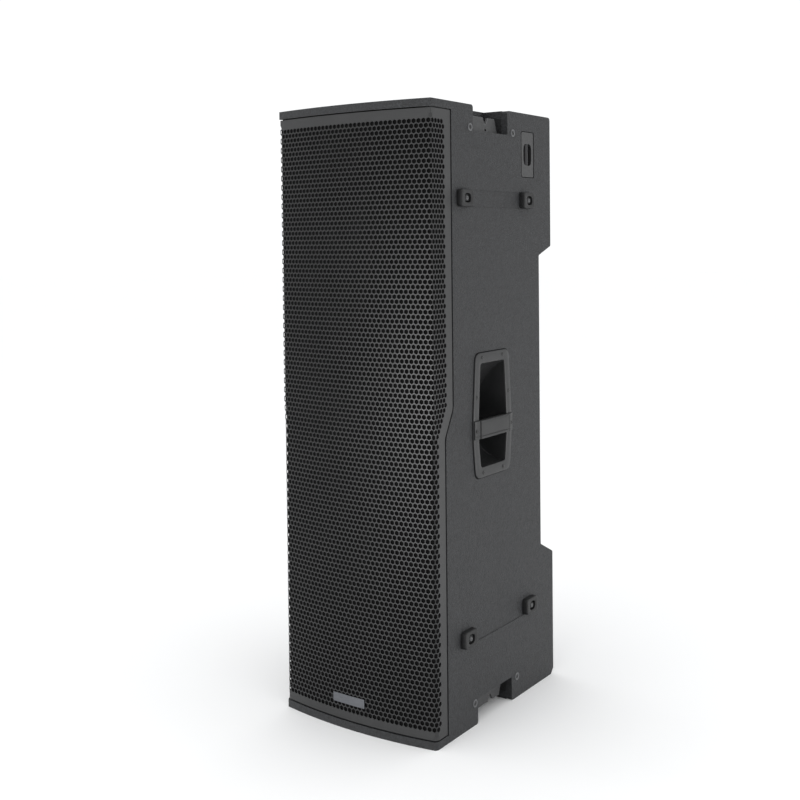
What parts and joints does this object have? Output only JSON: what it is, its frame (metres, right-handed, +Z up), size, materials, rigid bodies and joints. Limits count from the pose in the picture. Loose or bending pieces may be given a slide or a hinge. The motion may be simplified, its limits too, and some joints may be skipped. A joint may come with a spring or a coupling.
{
  "type": "stage loudspeaker cabinet",
  "caption": "Tall full-range stage loudspeaker cabinet with a bowed perforated grille, side bar handles, rigging pockets, side feet and a recessed rear amplifier.",
  "frame": {"origin": "centre of the footprint, on the floor", "axes": "+Z up the height of the cabinet, the grille faces -Y, +X is the cabinet's side seen on the right from the front"},
  "size_m": [0.418, 0.514, 1.3],
  "materials": {
    "textured_paint": "dark charcoal polyurea coating with a fine orange-peel texture",
    "baffle_paint": "matt black paint on birch plywood",
    "bare_ply": "unfinished birch plywood",
    "grille_steel": "black powder coat, fine texture",
    "bracket_steel": "charcoal coated steel with worn edges",
    "anchor_steel": "dark zinc plated steel, satin",
    "handle_plastic": "satin moulded nylon",
    "grip_plastic": "fine grained moulded nylon",
    "foot_rubber": "matt moulded rubber",
    "badge_metal": "satin anodised, blank",
    "horn_plastic": "moulded black, smooth",
    "driver_casting": "painted steel and casting",
    "diaphragm_metal": "thin bright dome",
    "basket_casting": "black painted die casting",
    "magnet_steel": "ferrite and blackened steel",
    "cone_paper": "pressed paper fibre, matt",
    "surround_rubber": "treated cloth and rubber roll",
    "amp_plate_paint": "fine textured black powder coat",
    "heatsink_black": "black anodised extrusion",
    "amp_case": "folded sheet case",
    "connector_black": "moulded black",
    "connector_blue": "moulded blue",
    "knob_plastic": "soft-touch black",
    "button_plastic": "grey moulded",
    "rocker_plastic": "polished black",
    "latch_steel": "bright spring steel"
  },
  "bodies": {
    "cabinet": {"left_side_panel": "textured_paint", "right_side_panel": "textured_paint", "top_panel": "textured_paint", "bottom_panel": "textured_paint", "upper_rear_panel": "textured_paint", "upper_rear_step": "textured_paint", "middle_rear_panel": "textured_paint", "lower_rear_step": "textured_paint", "lower_rear_panel": "textured_paint", "left_top_rigging_pocket": "textured_paint", "right_top_rigging_pocket": "textured_paint", "left_bottom_rigging_pocket": "textured_paint", "right_bottom_rigging_pocket": "textured_paint", "front_baffle": "baffle_paint", "cabinet_brace": "bare_ply", "grille": "grille_steel", "left_top_rigging_bracket": "bracket_steel", "right_top_rigging_bracket": "bracket_steel", "left_bottom_rigging_bracket": "bracket_steel", "right_bottom_rigging_bracket": "bracket_steel", "left_safety_anchor": "anchor_steel", "right_safety_anchor": "anchor_steel", "left_handle_cup": "handle_plastic", "right_handle_cup": "handle_plastic", "left_handle_grip": "grip_plastic", "right_handle_grip": "grip_plastic", "left_upper_front_foot": "foot_rubber", "left_upper_rear_foot": "foot_rubber", "left_lower_front_foot": "foot_rubber", "left_lower_rear_foot": "foot_rubber", "right_upper_front_foot": "foot_rubber", "right_upper_rear_foot": "foot_rubber", "right_lower_front_foot": "foot_rubber", "right_lower_rear_foot": "foot_rubber", "badge": "badge_metal", "horn": "horn_plastic", "hf_driver_housing": "driver_casting", "mid_basket": "basket_casting", "upper_woofer_basket": "basket_casting", "lower_woofer_basket": "basket_casting", "mid_magnet": "magnet_steel", "upper_woofer_magnet": "magnet_steel", "lower_woofer_magnet": "magnet_steel", "mid_surround": "surround_rubber", "upper_woofer_surround": "surround_rubber", "lower_woofer_surround": "surround_rubber", "amp_plate": "amp_plate_paint", "amp_heatsink": "heatsink_black", "amp_chassis": "amp_case", "signal_input_socket": "connector_black", "signal_link_socket": "connector_black", "power_inlet": "connector_blue"},
    "upper_cone": {"upper_woofer_cone": "cone_paper"},
    "lower_cone": {"lower_woofer_cone": "cone_paper"},
    "midrange_cone": {"mid_cone": "cone_paper"},
    "diaphragm": {"hf_diaphragm": "diaphragm_metal"},
    "knob": {"level_knob": "knob_plastic"},
    "button": {"select_button": "button_plastic"},
    "rocker": {"power_switch": "rocker_plastic"},
    "latch": {"input_latch": "latch_steel"}
  },
  "joints": [
    {"name": "upper_woofer_travel", "type": "slide", "parent": "cabinet", "child": "upper_cone", "axis": [0, -1, 0], "range_m": [-0.008, 0.008], "stiffness_N_per_m": 4000},
    {"name": "lower_woofer_travel", "type": "slide", "parent": "cabinet", "child": "lower_cone", "axis": [0, -1, 0], "range_m": [-0.008, 0.008], "stiffness_N_per_m": 4000},
    {"name": "midrange_travel", "type": "slide", "parent": "cabinet", "child": "midrange_cone", "axis": [0, -1, 0], "range_m": [-0.002, 0.002], "stiffness_N_per_m": 3000},
    {"name": "diaphragm_travel", "type": "slide", "parent": "cabinet", "child": "diaphragm", "axis": [0, -1, 0], "range_m": [-0.0005, 0.0005], "stiffness_N_per_m": 1500},
    {"name": "level_knob_turn", "type": "hinge", "parent": "cabinet", "child": "knob", "pos_m": [0.06, 0.2103, 0.5], "axis": [0, 1, 0], "range_deg": [-150, 150]},
    {"name": "select_button_press", "type": "slide", "parent": "cabinet", "child": "button", "axis": [0, -1, 0], "range_m": [0, 0.002], "stiffness_N_per_m": 250},
    {"name": "power_switch_rock", "type": "hinge", "parent": "cabinet", "child": "rocker", "pos_m": [-0.092, 0.198, 0.515], "axis": [-1, 0, 0], "range_deg": [0, 16]},
    {"name": "input_latch_press", "type": "slide", "parent": "cabinet", "child": "latch", "axis": [0, -1, 0], "range_m": [0, 0.0025], "stiffness_N_per_m": 250}
  ]
}
